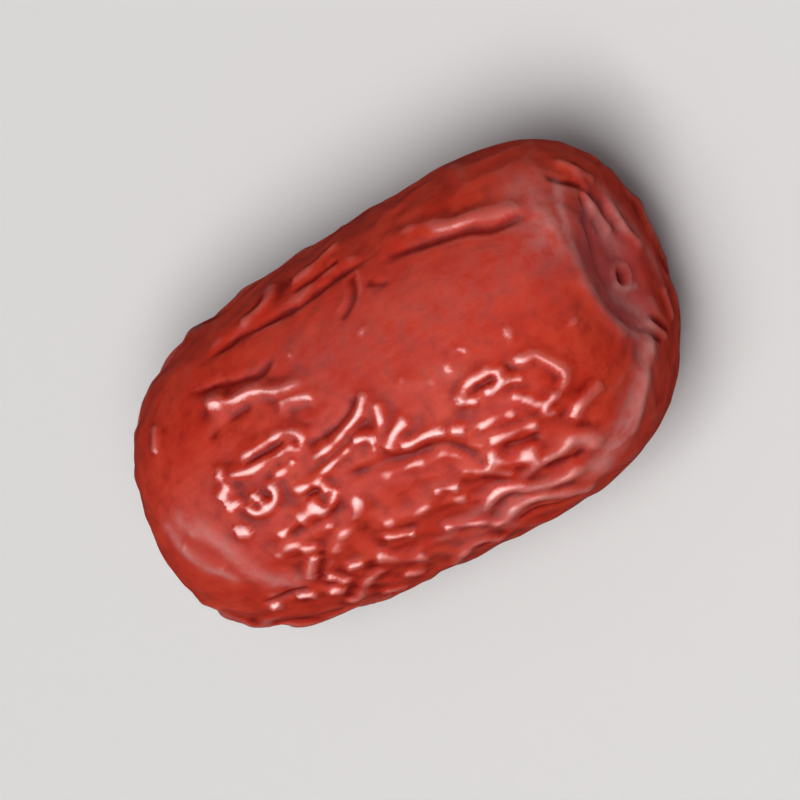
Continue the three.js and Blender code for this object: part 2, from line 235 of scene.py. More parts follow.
# Folds on the seen side: a run of (along, across) seen from above, a height and a width.
# A positive height is a ridge and a negative one a crease.
FOLDS = [
    # the long crease under the far flank, its branch, and the ridges above it
    ([(-12, 9.6), (-9, 9.8), (-6, 9.6), (-4, 9.5), (-2, 9.75), (0, 10), (1.6, 9.8)], -0.42, 0.5),
    ([(-8.6, 10.4), (-7, 10.5), (-5.8, 10.9), (-5.2, 11.6)], 0.4, 0.6),
    ([(-3.8, 11), (-2.6, 11.1), (-1.2, 11.4), (0.8, 11.7)], 0.4, 0.6),
    ([(-4, 10.5), (-2, 10.7), (0, 10.8)], -0.25, 0.35),
    ([(0.1, 9.4), (-0.3, 8.3), (-0.9, 7.6), (-2.2, 6.9)], -0.32, 0.4),
    ([(0.8, 8.4), (1.3, 7.9), (2.1, 7.5)], -0.2, 0.35),
    ([(3.2, 9.1), (6, 8.6), (9, 7.9), (10.3, 7.2), (11.5, 6.9), (13.2, 6.7)], -0.38, 0.45),
    ([(3.5, 10.3), (6.5, 9.7), (8.3, 8.9), (10, 8.4), (12, 7.8), (13.4, 7.4)], 0.3, 0.7),
    # the blossom half's upper ridges, and the creases beside them
    ([(-14.5, 8), (-13, 7.6), (-11.2, 7.2), (-10, 6.7), (-9.2, 6.6), (-8, 7.1)], -0.26, 0.4),
    ([(-13.8, 6.7), (-12.8, 6.4), (-12, 6), (-10.8, 5.8), (-9.8, 5.6),
      (-8.8, 5), (-8, 4.7), (-6.6, 4.4)], 0.55, 0.6),
    ([(-13.6, 6.4), (-12.6, 6.1)], 0.3, 0.75),
    ([(-15, 4.3), (-13.8, 4.7), (-12.5, 4.9), (-11, 5)], -0.2, 0.5),
    ([(-9.3, 4.1), (-8.5, 3.9), (-7.8, 3.6), (-6.7, 3.2)], 0.33, 0.55),
    ([(-8.9, 3.3), (-8, 3), (-7.2, 2.7)], -0.14, 0.5),
    ([(-18.8, 5.6), (-18.2, 6.4), (-17.6, 7.3)], 0.29, 0.58),
    # the hairpin ridge, the tongue inside it, and the knots at its open end
    ([(-13.6, 2.2), (-12.6, 2), (-11.5, 2.05), (-10, 2.2), (-9.2, 1.8),
      (-8.8, 1.1), (-9.2, 0.5), (-10.2, 0)], 0.36, 0.54),
    ([(-10.2, 0), (-11, -0.3), (-12.2, -0.4)], 0.3, 0.48),
    ([(-15, 1.4), (-14, 1.15), (-13, 0.9), (-12, 0.8), (-11, 0.8), (-10, 0.95), (-9.5, 1)], 0.4, 0.58),
    ([(-13.4, 1.5), (-12, 1.4), (-10.2, 1.6)], -0.2, 0.25),
    ([(-15.7, 2), (-15.2, 1.6)], 0.3, 0.6),
    ([(-16.5, 0.2), (-15.9, 0.5), (-15.2, 0.8)], 0.34, 0.6),
    ([(-16.4, -0.6), (-15.8, -0.7), (-15.2, -0.7)], 0.32, 0.55),
    ([(-14.9, -1), (-14.8, -1.8), (-14.2, -2.1), (-13.5, -2.1),
      (-12.8, -1.8), (-12.6, -1.1), (-13.1, -0.6)], 0.45, 0.5),
    ([(-14.3, -0.5), (-13.9, -1.2), (-13.6, -1.9)], 0.32, 0.42),
    ([(-16.7, -2.4), (-16.2, -2.6), (-15.7, -2.8)], 0.4, 0.7),
    # the branching ridge in the middle, and the creases along it
    ([(-9.5, -0.9), (-7.5, -0.6), (-6, -0.15), (-4.9, 0.15),
      (-4.3, 0.5), (-3.7, 1.1), (-3.3, 1.7)], 0.38, 0.54),
    ([(-9, 0.3), (-7, 0.35), (-5.4, 0.6), (-4.6, 1.1), (-4.2, 1.6)], -0.2, 0.36),
    ([(-9.5, -1.5), (-7.3, -1.1), (-5.5, -0.6), (-4.2, -0.4)], -0.16, 0.34),
    ([(-2.9, 0.6), (-3.2, -0.1), (-3.5, -0.9), (-4, -1.5), (-4.6, -2.1), (-5, -2.8)], 0.3, 0.48),
    ([(-5.9, -1), (-5.1, -1.35), (-4.4, -1.7)], 0.32, 0.49),
    ([(-4.1, -3), (-3.5, -2.5), (-2.9, -2), (-1.6, -1.7)], 0.37, 0.58),
    ([(-3.1, -3.3), (-2.3, -3.4), (-0.8, -3.6), (0.3, -3.9)], 0.33, 0.52),
    ([(0.6, -4.1), (1.5, -4.7)], 0.38, 0.6),
    ([(-11.6, -2.1), (-10.5, -2.1), (-9.5, -2.05), (-8.5, -1.85), (-7.5, -1.6), (-6.1, -1.25)], 0.33, 0.52),
    ([(-9.6, -2.2), (-9.4, -2.8), (-9.5, -3.3)], 0.29, 0.43),
    ([(-11, -2.9), (-10.3, -2.7), (-9.9, -2.9)], -0.26, 0.3),
    ([(-14, -4.4), (-13.2, -4), (-12.4, -3.9)], 0.3, 0.47),
    ([(-12.3, -4.1), (-11.3, -3.9), (-10.2, -3.6)], 0.55, 0.75),
    ([(-10.7, -4.5), (-9.9, -4.3), (-9.3, -3.9), (-8.7, -3.4)], 0.29, 0.43),
    # the crease between the middle and the near flank
    ([(-8.2, -3.2), (-6, -3.5), (-4, -4), (-2, -4.4), (-0.5, -4.7),
      (0.3, -5.4), (1, -6.3), (1.3, -6.9)], -0.34, 0.6),
    # the ridges on the stem half
    ([(-0.9, 0.9), (0.3, 0.3), (1.6, -0.6)], 0.13, 0.7),
    ([(2.2, -2.6), (2.9, -2.1), (3.7, -1.8), (4.8, -1.75), (5.5, -1.5)], 0.3, 0.48),
    ([(2.2, -2.6), (2.8, -3), (3.5, -3.3)], 0.32, 0.49),
    ([(6, -1.8), (5.7, -2.4), (5.9, -2.9)], 0.29, 0.43),
    ([(4.2, -3), (5.2, -3.1), (5.9, -3), (6.4, -3.2), (7.2, -3.6)], 0.3, 0.48),
    ([(3.9, -2.4), (4.7, -2.5), (5.4, -2.4)], -0.25, 0.3),
    ([(7.2, -2.2), (8, -2.4), (8.8, -2.4), (9.1, -3.1), (9.7, -4),
      (10.1, -4.7), (9.7, -5.3), (8.9, -5.7)], 0.32, 0.49),
    ([(8.9, -5.7), (7.9, -5.9), (7.3, -6.3), (7.2, -6.9), (8.1, -6.8)], 0.3, 0.49),
    ([(5.7, -4.1), (6.5, -4.9), (7.3, -5.9)], 0.24, 0.6),
    ([(2.3, -5), (3, -5), (4.2, -5.1), (5.4, -5.6)], 0.24, 0.6),
    ([(2.6, -6.4), (3.8, -6.4), (5, -6.6), (6.4, -7.2)], 0.28, 0.55),
    ([(1.8, -7.2), (2.6, -7.9), (3.6, -8.4), (5.4, -8.8)], 0.56, 0.9),
    ([(3.4, -7.1), (4.8, -7.6), (6, -7.8)], -0.24, 0.35),
    ([(8.7, -8.1), (9.3, -7.5), (10.3, -7.1), (11.9, -6.7)], 0.36, 0.58),
    # the folds of the near flank's blossom half
    ([(-15.3, -5.4), (-13.4, -5.4), (-11.6, -5.3), (-10, -5.6)], 0.29, 0.65),
    ([(-13.2, -6.1), (-12.6, -6.2), (-12, -6.3)], 0.32, 0.52),
    ([(-11.4, -7.4), (-10.4, -6.8), (-9.3, -6.2), (-8.3, -5.5), (-7.4, -4.8)], 0.32, 0.75),
    ([(-13.8, -8.2), (-13.2, -7.3), (-12.5, -6.9)], 0.3, 0.5),
    ([(-13.1, -8.6), (-12.7, -7.8), (-12.1, -7.4)], -0.25, 0.35),
    ([(-17.6, -8), (-15.8, -8.3), (-14.2, -8.7)], -0.3, 0.4),
    ([(-17.3, -8.4), (-16.6, -8.6)], 0.32, 0.52),
    ([(-15.3, -8.8), (-14.5, -9), (-13.9, -9.4)], 0.35, 0.52),
    ([(-12.9, -9.5), (-12, -10.1)], 0.41, 0.6),
    ([(-12.9, -8.6), (-12.1, -9), (-11.4, -9.7)], 0.34, 0.5),
    ([(-11.1, -8.8), (-9.7, -9.1)], 0.35, 0.52),
    ([(-7.6, -8.4), (-6.4, -8.7), (-5.4, -9.2)], 0.32, 0.52),
    ([(-7.2, -7.5), (-6, -7.6), (-4.8, -8), (-3.5, -8), (-2, -8.3), (-0.8, -9.1)], 0.3, 0.68),
    ([(-2.9, -7.2), (-1.8, -7.5), (-0.9, -8.1)], 0.32, 0.52),
    ([(-0.6, -7), (0.8, -7.5), (2, -8.4), (3, -9.2)], 0.29, 0.58),
    ([(-8.9, -9.2), (-7.6, -9.9), (-6.4, -10.7), (-5.5, -11)], 0.36, 0.8),
    ([(-12.4, -10.8), (-11.4, -11.2), (-10.8, -10.6), (-9.6, -10.2), (-8.4, -10.3)], 0.35, 0.52),
    ([(-9.7, -11.7), (-8.9, -11.8), (-8, -12.1)], 0.35, 0.52),
    ([(-7.8, -11.3), (-7, -11.6), (-6.2, -11.9)], 0.35, 0.52),
    # the lens-shaped folds of its stem half
    ([(-3.6, -9.9), (-2, -10.4), (-0.6, -11), (0.1, -11.8)], 0.4, 0.58),
    ([(-4.1, -12.6), (-2.6, -12), (-1.3, -12.1), (-0.2, -12.8)], 0.4, 0.58),
    ([(-0.3, -10.4), (0.5, -9.9), (1.5, -9.7), (2.7, -10),
      (3.5, -10.7), (5.2, -11.3), (7.4, -11.5)], 0.41, 0.6),
    ([(0.7, -10.8), (1.6, -10.5), (2.5, -10.8)], -0.25, 0.45),
    ([(0.3, -11.9), (1.2, -11.4), (2.8, -11.3), (4.5, -11.8), (6, -12.5), (7.4, -13)], 0.41, 0.6),
    ([(3.4, -9.7), (5.2, -9.3), (6.5, -9.5), (8, -9.1), (9.2, -9.9), (9.4, -10.8)], 0.41, 0.6),
    ([(5.2, -10.2), (6.6, -10.4), (8.2, -10.6)], -0.3, 0.6),
    ([(1.6, -12.3), (3.2, -12.4), (5, -13)], -0.25, 0.4),
    # the soft folds of the two shoulders
    ([(-19.9, -0.8), (-19, -1.1), (-18.1, -2.4), (-17.6, -4), (-17.2, -5.5), (-16.4, -6.9)], 0.22, 1.1),
    ([(-20.6, -1.3), (-20.2, -2.2), (-19.6, -3.2), (-18.6, -4.6)], 0.22, 1),
    ([(16.6, -5.9), (15.6, -7.1), (14.4, -8.4), (13.2, -9.8), (11.8, -11.3)], 0.3, 0.8),
    # small knots on the calm skin
    ([(4.2, 0.4), (4.5, 0.7)], 0.15, 0.6),
    ([(7.6, -0.1), (8.2, -0.2)], 0.16, 0.65),
    ([(2.4, -0.1), (3, -0.3)], 0.16, 0.7),
    ([(12.2, -1.7), (12.4, -2.2)], 0.23, 0.58),
    ([(-1.3, 5.7), (-1.1, 5.3)], 0.17, 0.5),
    ([(-6.8, 6.6), (-6.4, 6.7)], 0.17, 0.5),
    # the basin's near rim, and the groove under it
    ([(14.2, 7), (14.6, 4.5), (14.6, 2.4), (14.4, 0.5), (14.3, -1),
      (14.6, -2.6), (15, -4.3), (16.2, -6)], 0.3, 0.8),
    ([(17, 4.6), (16.5, 2.4), (16, 0.4), (15.9, -1.6), (16.2, -3.4)], -0.36, 0.7),
    # the folds of its far wall and far rim
    ([(17.9, 6), (17.9, 4), (18, 2.3)], 0.29, 0.42),
    ([(17.5, 5.8), (17.4, 4.2), (17.6, 2.6)], -0.27, 0.32),
    ([(18.5, 4.8), (18.4, 3.4), (18.6, 2)], -0.26, 0.3),
    ([(19, 4.6), (19.1, 2.6), (19.1, 1.4), (19.6, 0.4)], 0.3, 0.44),
    ([(16.1, 8.2), (17, 7.3), (18, 6.2), (18.4, 5)], -0.36, 0.42),
    ([(17.2, 8.8), (18.2, 7.5), (18.9, 6.2)], 0.38, 0.5),
    ([(16.2, -4.4), (16.7, -5.4), (17.2, -6.3)], -0.31, 0.36),
    ([(16.9, -4.7), (17.3, -5.5), (17.7, -6.2)], 0.29, 0.42),
    ([(17.5, -4.6), (18, -6.2)], -0.29, 0.34),
    ([(18.6, -5.6), (18.9, -4.4), (19.2, -3.1)], 0.34, 0.5),
]

# Where pale sheen is painted into the skin's colour as reflected light: a run of (along, across) seen from
# above, a width and a strength.
PAINTED_SHEENS = [
    ([(16.6, -5.6), (15, -7.6), (13, -9.6), (10.6, -11.3), (8.6, -12)], 1.3, 0.6),
    ([(7.4, -9.3), (8.4, -9.6), (9.6, -10.6)], 0.7, 0.35),
    ([(-20.8, 0.2), (-20.5, -1.8), (-19.8, -3.6), (-18.6, -5)], 0.6, 0.55),
    ([(-19.8, 0.4), (-18.7, -1), (-17.9, -2.8), (-17.5, -4.6), (-16.6, -6.6), (-14.8, -7.6)], 0.8, 0.45),
    ([(14.4, 8.2), (14.4, 6), (14, 4.4)], 1.8, 0.4),
    ([(16.6, 7.4), (15.4, 5), (14.8, 1), (14.7, -2), (15.2, -4.6), (16.2, -6)], 0.45, 0.6),
    ([(19.2, 5.4), (19.6, 2), (19.8, -1), (19.3, -4)], 0.7, 0.35),
    ([(17.9, 4.8), (17.6, 2.6), (17.8, 1)], 0.7, 0.4),
    ([(16, -2), (16.6, -3.4), (17, -4.8)], 0.7, 0.5),
    ([(16.3, -1.3), (16.6, -1.9), (17.5, -2)], 0.25, 0.6),
    ([(19, 3.2), (19, 1.8)], 0.35, 0.5),
    ([(1.4, 0.2), (2.9, -0.4)], 0.6, 0.12),
    ([(-3, -11.9), (1, -11), (5, -11.4)], 1.4, 0.14),
    ([(-4, -10.6), (-1, -10.2), (1.5, -9.8), (3, -10.6), (5, -11.2), (8, -11.5)], 0.5, 0.25),
    ([(0.4, -12.2), (1.2, -11.4), (3, -11.3), (5, -12), (7, -12.8)], 0.4, 0.25),
    ([(3.4, -9.7), (5.2, -9.3), (7, -9.4), (8.8, -9.6)], 0.4, 0.25),
    ([(-6, 5.4), (4, 4.6), (12, 3.6)], 4.2, 0.14),
]


def length(name, description, metres):
    """A property that holds a length."""
    return FloatProperty(name=name, description=description, default=metres, unit="LENGTH", min=0)


def share(name, description, value, **more):
    """A property that holds a plain number."""
    return FloatProperty(name=name, description=description, default=value, **more)


def degrees(name, description, value):
    """A property that holds an angle, given in degrees."""
    return FloatProperty(name=name, description=description, default=math.radians(value), subtype="ANGLE")


def colour(name, description, value):
    """A property that holds a colour."""
    return FloatVectorProperty(
        name=name, description=description, default=value, subtype="COLOR", min=0, max=1
    )


class JujubeBody(bpy.types.PropertyGroup):
    """The plump body under the wrinkles."""

    long: length("Length", "From the blossom end to the stem end", 0.0418)
    wide: length("Width", "Across the middle", 0.0253)
    high: length("Height", "From the surface it lies on to its top", 0.0248)
    fullness: share("Fullness", "2 is an ellipsoid, and more has blunter ends", 3.6, min=2)
    taper: share("Taper", "How much fatter the stem half is", 0.1)
    slant: share("Slant", "How far a point moves in X for each unit of its Y", 0.19)
    drift: share("Drift", "How far the middle line goes in Y for each unit of X", -0.05)
    lean: degrees("Lean", "How far the stem end is up", 3.5)
    flat: length("Flat depth", "How deep the layer is that is flattened at the bottom", 0.00022)


class JujubeSkin(bpy.types.PropertyGroup):
    """The skin's wrinkles, colours and gloss."""

    swell_around: share("Swell round", "How much too large the skin is round the fruit", 0.15, min=0, max=0.3)
    swell_along: share("Swell along", "How much too large the skin is along the fruit", 0.06, min=0, max=0.3)
    stiffness: share("Stiffness", "How much the skin resists bending, which widens its wrinkles", 50)
    hold: share("Hold", "How firmly the flesh holds the skin", 1.5)
    wrinkle_limit: length("Wrinkle limit", "The furthest that the skin moves as it dries", 0.0007)
    # painted shade: Deep red fills the creases where shade falls, and it is also the skin's own dark mottle
    deep_red_and_shade: colour("Deep red", "The skin in its hollows", (0.13, 0.0025, 0.0015))
    red: colour("Red", "Most of the skin", (0.335, 0.0165, 0.007))
    # on the crests Bright red is a painted highlight; in patches and streaks it is the skin's own tone
    bright: colour("Bright red", "The skin on its crests", (0.44, 0.043, 0.02))
    # painted reflection: this grey-mauve stands for light reflected in the hollow ends
    dust: colour("Dust", "The dry brown of the stem basin", (0.34, 0.055, 0.055))
    # painted sheen: this pale colour stands for light reflected off the skin
    haze: colour("Haze", "The pale bloom on the skin", (0.47, 0.195, 0.18))
    roughness: share("Roughness", "How dull the skin's gloss is", 0.42, min=0, max=1)


class JujubeStage(bpy.types.PropertyGroup):
    """The floor, the lights and the view."""

    floor: colour("Floor", "The floor's colour", (0.52, 0.51, 0.50))
    key_light: share("Key light", "Power of the large light that shows the colours, in watts", 3.2)
    front_light: share("Front light", "Power of the softbox that makes the glints, in watts", 3.4)
    side_light: share("Side light", "Power of the softbox at the blossom end, in watts", 7.4)
    fill: share("Fill", "Strength of the light from all round", 0.3)
    sky: colour("Fill colour", "The colour of the light from all round", (0.93, 0.94, 1))
    tilt: degrees("View tilt", "How far the view leans from the fruit's own upright to its stem end", 25)
    turn: degrees("View turn", "How far the fruit rises to the right", 31)


class Value:
    """A node's output, wrapped so that sums, products and powers of values add their Math nodes."""

    def __init__(self, graph, socket):
        self.graph = graph
        self.socket = socket

    def __add__(self, other):
        return self.graph.math("ADD", self, other)

    def __sub__(self, other):
        return self.graph.math("SUBTRACT", self, other)

    def __mul__(self, other):
        return self.graph.math("MULTIPLY", self, other)

    def __pow__(self, other):
        return self.graph.math("POWER", self, other)

    def __radd__(self, other):
        return self.graph.math("ADD", other, self)

    def __rsub__(self, other):
        return self.graph.math("SUBTRACT", other, self)

    def __rmul__(self, other):
        return self.graph.math("MULTIPLY", other, self)

    def __rtruediv__(self, other):
        return self.graph.math("DIVIDE", other, self)

    def smooth(self, low, high):
        """0 below low, 1 above high, and a soft step between."""
        sockets = {"Value": self, "From Min": low, "From Max": high}
        return self.graph.node("ShaderNodeMapRange", sockets, interpolation_type="SMOOTHSTEP")


class Graph:
    """Adds nodes to one tree, for a shader or for geometry."""

    def __init__(self, tree):
        self.tree = tree

    def node(self, kind, sockets=None, out=0, **settings):
        """One node: its settings come first, then the values or links of its sockets."""
        node = self.tree.nodes.new(kind)
        for name, value in settings.items():
            setattr(node, name, value)
        for name, value in (sockets or {}).items():
            self.join(value, node.inputs[name])
        return Value(self, node.outputs[out])

    def join(self, value, socket):
        if isinstance(value, Value):
            self.tree.links.new(value.socket, socket)
        else:
            socket.default_value = value

    def math(self, operation, *values):
        return self.node("ShaderNodeMath", dict(enumerate(values)), operation=operation)

    def mix(self, part_of_b, a, b):
        """A colour between the colours a and b."""
        return self.node("ShaderNodeMix", {0: part_of_b, 6: a, 7: b}, out=2, data_type="RGBA")

    def attribute(self, name):
        """A number that the mesh holds at each of its points."""
        return self.node("ShaderNodeAttribute", out="Fac", attribute_name=name)

    def noise(self, coordinates, scale, detail, roughness):
        sockets = {"Vector": coordinates, "Scale": scale, "Detail": detail, "Roughness": roughness}
        return self.node("ShaderNodeTexNoise", sockets)


def smooth(low, high, x):
    """0 below low, 1 above high, and a soft step between."""
    step = np.clip((x - low) / (high - low), 0, 1)
    return step * step * (3 - 2 * step)


def bump(x):
    """1 at 0, and fading softly to 0 on both sides."""
    return np.exp(-x * x)


def in_mm(metres):
    return metres / MM


def points_of(mesh):
    points = np.empty(len(mesh.vertices) * 3)
    mesh.vertices.foreach_get("co", points)
    return points.reshape(-1, 3)


def set_points(mesh, points):
    mesh.vertices.foreach_set("co", points.ravel())
    mesh.update()


def normals_of(mesh):
    normals = np.empty(len(mesh.vertices) * 3)
    mesh.vertex_normals.foreach_get("vector", normals)
    return normals.reshape(-1, 3)


def shown(name, mesh):
    """A new object of a mesh, in the scene."""
    piece = bpy.data.objects.new(name, mesh)
    bpy.context.scene.collection.objects.link(piece)
    return piece


def flattened(piece):
    """The plain mesh of an object with its modifiers applied. The object is removed."""
    depsgraph = bpy.context.evaluated_depsgraph_get()
    mesh = bpy.data.meshes.new_from_object(piece.evaluated_get(depsgraph))
    bpy.data.objects.remove(piece)
    return mesh


def store(mesh, name, values):
    """Keeps a number or a vector for each of a mesh's points."""
    kind, field = ("FLOAT", "value") if values.ndim == 1 else ("FLOAT_VECTOR", "vector")
    mesh.attributes.new(name, kind, "POINT").data.foreach_set(field, values.ravel())


def stored(mesh, name):
    """The vector kept for each of a mesh's points, which is then forgotten."""
    values = np.empty(len(mesh.vertices) * 3)
    mesh.attributes[name].data.foreach_get("vector", values)
    mesh.attributes.remove(mesh.attributes[name])
    return values.reshape(-1, 3)


def through_tree(mesh, tree, sizes):
    """The mesh that a geometry tree with these sizes makes of a mesh."""
    piece = shown(tree.name, mesh)
    modifier = piece.modifiers.new(tree.name, "NODES")
    modifier.node_group = tree
    for item in tree.interface.items_tree:
        if item.in_out == "INPUT" and item.name in sizes:
            modifier[item.identifier] = float(sizes[item.name])
    return flattened(piece)


def new_tree(name, sizes):
    """A geometry tree with one input for each size. Returns its graph and its inputs by name."""
    tree = bpy.data.node_groups.new(name, "GeometryNodeTree")
    tree.interface.new_socket("Geometry", in_out="INPUT", socket_type="NodeSocketGeometry")
    tree.interface.new_socket("Geometry", in_out="OUTPUT", socket_type="NodeSocketGeometry")
    for label, value in sizes.items():
        socket = tree.interface.new_socket(label, in_out="INPUT", socket_type="NodeSocketFloat")
        socket.default_value = value
    graph = Graph(tree)
    start = tree.nodes.new("NodeGroupInput")
    inputs = {socket.name: Value(graph, socket) for socket in start.outputs if socket.name}
    return graph, inputs


def end_tree(graph, geometry, material):
    """Ends a geometry tree: its copies are made real, and it gets its material."""
    real = graph.node("GeometryNodeRealizeInstances", {"Geometry": geometry})
    done = graph.node("GeometryNodeSetMaterial", {"Geometry": real, "Material": material})
    end = graph.tree.nodes.new("NodeGroupOutput")
    graph.join(done, end.inputs["Geometry"])
    return graph.tree


def body_sizes(body):
    return {
        "Length": in_mm(body.long),
        "Width": in_mm(body.wide),
        "Height": in_mm(body.high),
        "Fullness": body.fullness,
        "Taper": body.taper,
        "Slant": body.slant,
        "Drift": body.drift,
    }


def body_tree(sizes, material):
    """The tree that moves each point of a unit sphere to the plump body, in millimetres."""
    graph, inputs = new_tree("Plump body", sizes)
    position = graph.node("GeometryNodeInputPosition")
    x, y, z = (graph.node("ShaderNodeSeparateXYZ", {0: position}, out=k) for k in range(3))
    fullness = inputs["Fullness"]
    around = graph.math("SQRT", y * y + z * z)
    reach = (graph.math("ABSOLUTE", x) ** fullness + around**fullness) ** (-1 / fullness)
    angle = graph.math("ARCTAN2", z, y)
    lobes = 1
    for count, depth, phase, twist in LOBES:
        lobes = lobes + depth * graph.math("COSINE", angle * count + x * twist + phase)
    girth = reach * (1 + inputs["Taper"] * x * reach) * lobes
    across = inputs["Width"] * 0.5 * y * girth
    along = inputs["Length"] * 0.5 * x * reach + inputs["Slant"] * across
    up = inputs["Height"] * 0.5 * z * girth
    place = graph.node("ShaderNodeCombineXYZ", {0: along, 1: across + inputs["Drift"] * along, 2: up})
    moved = graph.node("GeometryNodeSetPosition", {"Geometry": inputs["Geometry"], "Position": place})
    return end_tree(graph, moved, material)


def eye_direction(tilt):
    """Towards the eye, in the fruit's own frame, where its long axis is level."""
    return np.array([math.sin(tilt), 0, math.cos(tilt)])


def unpressed(points):
    """Where points were before the fruit's two ends were drawn in."""
    points = points.copy()
    stem, blossom = points[:, 0] > END_FROM, points[:, 0] < -END_FROM
    points[stem, 0] += hollow_depth(points[stem], **BASIN)
    points[blossom, 0] -= hollow_depth(points[blossom], **DIMPLE)
    return points


def are_outside(points, body):
    """Whether points are outside the plump body."""
    across = points[:, 1] - body.drift * points[:, 0]
    x = (points[:, 0] - body.slant * across) / (in_mm(body.long) / 2)
    y = across / (in_mm(body.wide) / 2)
    z = points[:, 2] / (in_mm(body.high) / 2)
    around = np.hypot(y, z) / (1 + body.taper * x)
    lobes = 1
    for count, depth, phase, twist in LOBES:
        lobes += depth * np.cos(count * np.arctan2(z, y) + twist * x / np.hypot(x, around) + phase)
    return abs(x) ** body.fullness + (around / lobes) ** body.fullness > 1


def seen_points(run, body, tilt):
    """The points of the body, before its ends are drawn in, that show at these (along, across) places."""
    along, across = np.transpose(run) + np.transpose([SEEN_MIDDLE])
    eye = eye_direction(tilt)
    plane = np.stack([along * eye[2], across, -along * eye[0]], 1)
    sight = in_mm(VIEW_DISTANCE) * eye - plane
    sight /= np.linalg.norm(sight, axis=1)[:, None]
    points = plane + in_mm(body.wide) * sight
    for _ in range(round(2 * in_mm(body.wide) / EYE_STEP)):
        points -= EYE_STEP * sight * are_outside(unpressed(points), body)[:, None]
    return unpressed(points)


def rounded_run(run):
    """A run of points with its corners cut off twice, a quarter of the way to the next point."""
    points = np.array(run, float)
    for _ in range(2):
        a, b = points[:-1], points[1:]
        between = np.stack([0.75 * a + 0.25 * b, 0.25 * a + 0.75 * b], 1).reshape(-1, 2)
        points = np.concatenate([points[:1], between, points[-1:]])
    return points


def wavered(points, amount, waves):
    """Points moved a little in slow waves, so that what is drawn by them wanders."""
    x, y, z = waves * points.T
    return points + amount * np.stack(
        [np.sin(0.9 * y + 0.5 * z), np.sin(0.7 * x + 0.8 * z + 1), np.sin(0.8 * x - 0.9 * y + 2)], 1
    )


def distance_to(points, path):
    """How far points are from a path, and how far along it their nearest places are, from 0 to 1."""
    nearest = np.full(len(points), np.inf)
    place = np.zeros(len(points))
    for i, (a, b) in enumerate(zip(path[:-1], path[1:])):
        along = b - a
        part = np.clip((points - a) @ along / (along @ along), 0, 1)
        distance = np.linalg.norm(points - a - part[:, None] * along, axis=1)
        closer = distance < nearest
        nearest[closer] = distance[closer]
        place[closer] = (i + part[closer]) / (len(path) - 1)
    return nearest, place


def fold_shape(points, path, width):
    """How near points are to a fold, from 1 on its line to 0, and fading at the fold's ends."""
    nearest, place = distance_to(points, path)
    fade = np.minimum(1, FOLD_GROWTH * np.minimum(place, 1 - place) + FOLD_END)
    return fade * (bump(nearest / width) - MOAT_SHARE * bump(nearest / (MOAT_WIDTH * width)))


def seen_folds(body, tilt):
    """Each fold's path on the body, with its height and width."""
    runs = [rounded_run(run) for run, _, _ in FOLDS]
    points = seen_points(np.concatenate(runs), body, tilt)
    paths = np.split(points, np.cumsum([len(run) for run in runs])[:-1])
    return [(path, height, width) for path, (_, height, width) in zip(paths, FOLDS)]


def folds_height(points, folds):
    """The height of all the folds at these points."""
    points = wavered(points, FOLD_WAVER, FOLD_WAVES)
    total = np.zeros(len(points))
    for path, height, width in folds:
        middle = (path.min(0) + path.max(0)) / 2
        far = np.linalg.norm(path - middle, axis=1).max() + FOLD_REACH * width
        near = np.linalg.norm(points - middle, axis=1) < far
        total[near] += height * fold_shape(points[near], path, width)
    return total


def random_row(seed, count):
    """Seeded random numbers from 0 to 1."""
    row = []
    for _ in range(count):
        seed = seed * RANDOM_STEP % RANDOM_RANGE
        row.append(seed / RANDOM_RANGE)
    return np.array(row)


def net_seeds(tree, sizes):
    """The middles of the net's cells, on a spiral of evenly spread directions, and how high each lifts."""
    random = random_row(NET_SEED_NUMBER, 3 * NET_SEEDS).reshape(-1, 3)
    i = np.arange(NET_SEEDS)
    jitter = 1 / math.sqrt(NET_SEEDS)
    x = 1 - 2 * (i + 0.5) / NET_SEEDS + NET_SCATTER[0] * (random[:, 0] - 0.5) * jitter
    angle = i * math.pi * (3 - math.sqrt(5)) + NET_SCATTER[1] * (random[:, 1] - 0.5) * jitter
    around = np.sqrt(np.maximum(0, 1 - x * x))
    spots = bpy.data.meshes.new("Cell middles")
    spots.from_pydata(np.stack([x, around * np.cos(angle), around * np.sin(angle)], 1), [], [])
    return points_of(through_tree(spots, tree, sizes)), random[:, 2]


def net_height(points, spots, lifts):
    """The net's height, from the softened shares that its cells have in each point."""
    points = wavered(points, NET_WAVER, 1)
    total, squares, lift = np.zeros((3, len(points)))
    for spot, own_lift in zip(spots, lifts):
        distance = np.linalg.norm((points - spot) / (NET_STRETCH, 1, 1), axis=1)
        part = np.exp(-distance / NET_SOFTNESS)
        total += part
        squares += part * part
        lift += part * own_lift
    on_border = 1 - squares / total**2
    low, high = NET_HEIGHTS
    return (low + (high - low) * lift / total) * (on_border - NET_MIDDLE)


def calmness(points, body, tilt):
    """What share of the wrinkles the calm patches leave at each point."""
    left = np.ones(len(points))
    for spot, reach, calm in CALM_PATCHES:
        middle = seen_points([spot], body, tilt)[0]
        along = (points[:, 0] - middle[0]) / reach[0]
        across = np.hypot(points[:, 1] - middle[1], points[:, 2] - middle[2]) / reach[1]
        left *= 1 - calm * (1 - smooth(*CALM_FADE, np.hypot(along, across)))
    return left


def left_by(loss, towards):
    """What share of the wrinkles a loss leaves at points this share of the way to its side."""
    start, full, most = loss
    return 1 - most * smooth(start, full, towards)


def wrinkle_strength(points, directions, body, tilt):
    """How strong the random wrinkles are: weak on calm skin, at the ends, where it is seen and underneath."""
    x, _, z = directions.T
    left = left_by(STEM_LOSS, x) * left_by(BLOSSOM_LOSS, -x)
    left *= calmness(points, body, tilt)
    left *= left_by(SEEN_LOSS, directions @ eye_direction(tilt))
    return left * left_by(UNDER_LOSS, -z)


def hollow_place(points, spot, reach):
    """How far out points are in a hollow end, as a share of its reach, and at which angle."""
    y = (points[:, 1] - spot[0]) / reach[0]
    z = points[:, 2] - spot[1]
    z /= np.where(z > 0, reach[1], reach[2])
    return np.hypot(y, z), np.arctan2(z, y)


